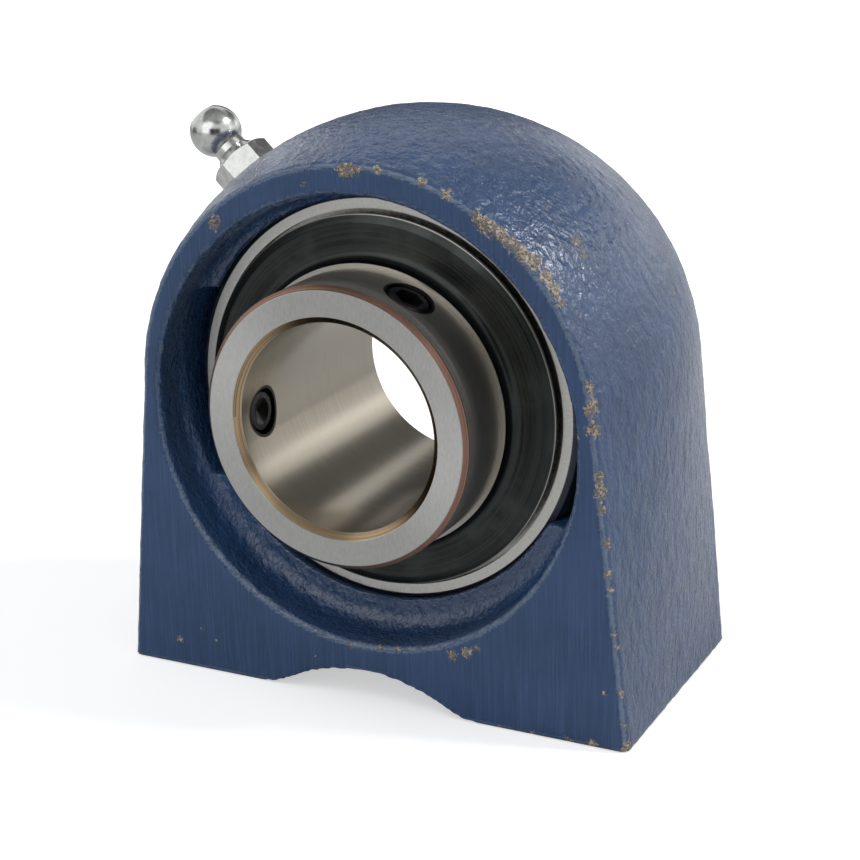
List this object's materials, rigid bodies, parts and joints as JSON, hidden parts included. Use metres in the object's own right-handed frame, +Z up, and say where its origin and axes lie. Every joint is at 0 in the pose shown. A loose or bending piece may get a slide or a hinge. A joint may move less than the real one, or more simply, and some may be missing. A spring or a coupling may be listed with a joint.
{
  "type": "pillow block bearing",
  "caption": "Short-base pillow block: painted cast housing, swivelling ball bearing insert with a set-screw locked wide inner ring, and a grease nipple.",
  "frame": {"origin": "centre of the spherical seat and of the ball row, on the shaft axis", "axes": "+Y along the shaft axis from the set-screw side to the back, +Z up from the base, +X to the right seen from the set-screw side"},
  "size_m": [0.068, 0.0418, 0.0698],
  "materials": {
    "housing_paint": "blue paint on cast iron, satin, chipped to grey-brown iron along the edges",
    "ring_steel": "ground",
    "ball_steel": "polished",
    "cage_steel": "pressed",
    "black_steel_guard": "dark phosphated, satin",
    "black_oxide_steel": "black oxide",
    "zinc_plated_steel": "bright zinc plate",
    "spring_steel": "drawn wire",
    "seal_rubber": "matt"
  },
  "bodies": {
    "housing": {"housing": "housing_paint", "grease_nipple": "zinc_plated_steel", "nipple_spring": "spring_steel"},
    "nipple_ball": {"nipple_check_ball": "ball_steel"},
    "insert": {"outer_ring": "ring_steel", "seal_shell_front": "cage_steel", "seal_shell_back": "cage_steel", "seal_lip_front": "seal_rubber", "seal_lip_back": "seal_rubber"},
    "shaft_ring": {"inner_ring": "ring_steel", "slinger_front": "black_steel_guard", "slinger_back": "black_steel_guard"},
    "screw_1": {"set_screw_1": "black_oxide_steel"},
    "screw_2": {"set_screw_2": "black_oxide_steel"},
    "cage": {"cage_front": "cage_steel", "cage_back": "cage_steel", "cage_rivets": "cage_steel"},
    "ball_1": {"ball_1": "ball_steel"},
    "ball_2": {"ball_2": "ball_steel"},
    "ball_3": {"ball_3": "ball_steel"},
    "ball_4": {"ball_4": "ball_steel"},
    "ball_5": {"ball_5": "ball_steel"},
    "ball_6": {"ball_6": "ball_steel"},
    "ball_7": {"ball_7": "ball_steel"},
    "ball_8": {"ball_8": "ball_steel"},
    "ball_9": {"ball_9": "ball_steel"}
  },
  "joints": [
    {"name": "self_align", "type": "hinge", "parent": "housing", "child": "insert", "pos_m": [0, 0, 0], "axis": [1, 0, 0], "range_deg": [-10, 10]},
    {"name": "inner_ring_spin", "type": "hinge", "parent": "insert", "child": "shaft_ring", "pos_m": [0, 0, 0], "axis": [0, 1, 0], "continuous": true},
    {"name": "cage_orbit", "type": "hinge", "parent": "insert", "child": "cage", "pos_m": [0, 0, 0], "axis": [0, 1, 0], "continuous": true},
    {"name": "set_screw_1_travel", "type": "slide", "parent": "shaft_ring", "child": "screw_1", "axis": [0.4462, 0, 0.8949], "range_m": [-0.0003, 0.003]},
    {"name": "set_screw_2_travel", "type": "slide", "parent": "shaft_ring", "child": "screw_2", "axis": [-0.9981, 0, -0.061], "range_m": [-0.0003, 0.003]},
    {"name": "nipple_ball_lift", "type": "slide", "parent": "housing", "child": "nipple_ball", "axis": [0.7071, 0, -0.7071], "range_m": [0, 0.0008], "stiffness_N_per_m": 300, "springref_m": -0.001, "deforming": ["nipple_spring"]},
    {"name": "ball_1_spin", "type": "hinge", "parent": "cage", "child": "ball_1", "pos_m": [0, 0, 0.01954], "axis": [0, 1, 0], "continuous": true},
    {"name": "ball_2_spin", "type": "hinge", "parent": "cage", "child": "ball_2", "pos_m": [-0.01256, 0, 0.01496], "axis": [0, 1, 0], "continuous": true},
    {"name": "ball_3_spin", "type": "hinge", "parent": "cage", "child": "ball_3", "pos_m": [-0.01924, 0, 0.00339], "axis": [0, 1, 0], "continuous": true},
    {"name": "ball_4_spin", "type": "hinge", "parent": "cage", "child": "ball_4", "pos_m": [-0.01692, 0, -0.00977], "axis": [0, 1, 0], "continuous": true},
    {"name": "ball_5_spin", "type": "hinge", "parent": "cage", "child": "ball_5", "pos_m": [-0.00668, 0, -0.01836], "axis": [0, 1, 0], "continuous": true},
    {"name": "ball_6_spin", "type": "hinge", "parent": "cage", "child": "ball_6", "pos_m": [0.00668, 0, -0.01836], "axis": [0, 1, 0], "continuous": true},
    {"name": "ball_7_spin", "type": "hinge", "parent": "cage", "child": "ball_7", "pos_m": [0.01692, 0, -0.00977], "axis": [0, 1, 0], "continuous": true},
    {"name": "ball_8_spin", "type": "hinge", "parent": "cage", "child": "ball_8", "pos_m": [0.01924, 0, 0.00339], "axis": [0, 1, 0], "continuous": true},
    {"name": "ball_9_spin", "type": "hinge", "parent": "cage", "child": "ball_9", "pos_m": [0.01256, 0, 0.01496], "axis": [0, 1, 0], "continuous": true}
  ],
  "couplings": [
    {"joint": "cage_orbit", "follows": "inner_ring_spin", "ratio": 0.39841},
    {"joint": "ball_1_spin", "follows": "inner_ring_spin", "ratio": -2.3594},
    {"joint": "ball_2_spin", "follows": "inner_ring_spin", "ratio": -2.3594},
    {"joint": "ball_3_spin", "follows": "inner_ring_spin", "ratio": -2.3594},
    {"joint": "ball_4_spin", "follows": "inner_ring_spin", "ratio": -2.3594},
    {"joint": "ball_5_spin", "follows": "inner_ring_spin", "ratio": -2.3594},
    {"joint": "ball_6_spin", "follows": "inner_ring_spin", "ratio": -2.3594},
    {"joint": "ball_7_spin", "follows": "inner_ring_spin", "ratio": -2.3594},
    {"joint": "ball_8_spin", "follows": "inner_ring_spin", "ratio": -2.3594},
    {"joint": "ball_9_spin", "follows": "inner_ring_spin", "ratio": -2.3594}
  ]
}
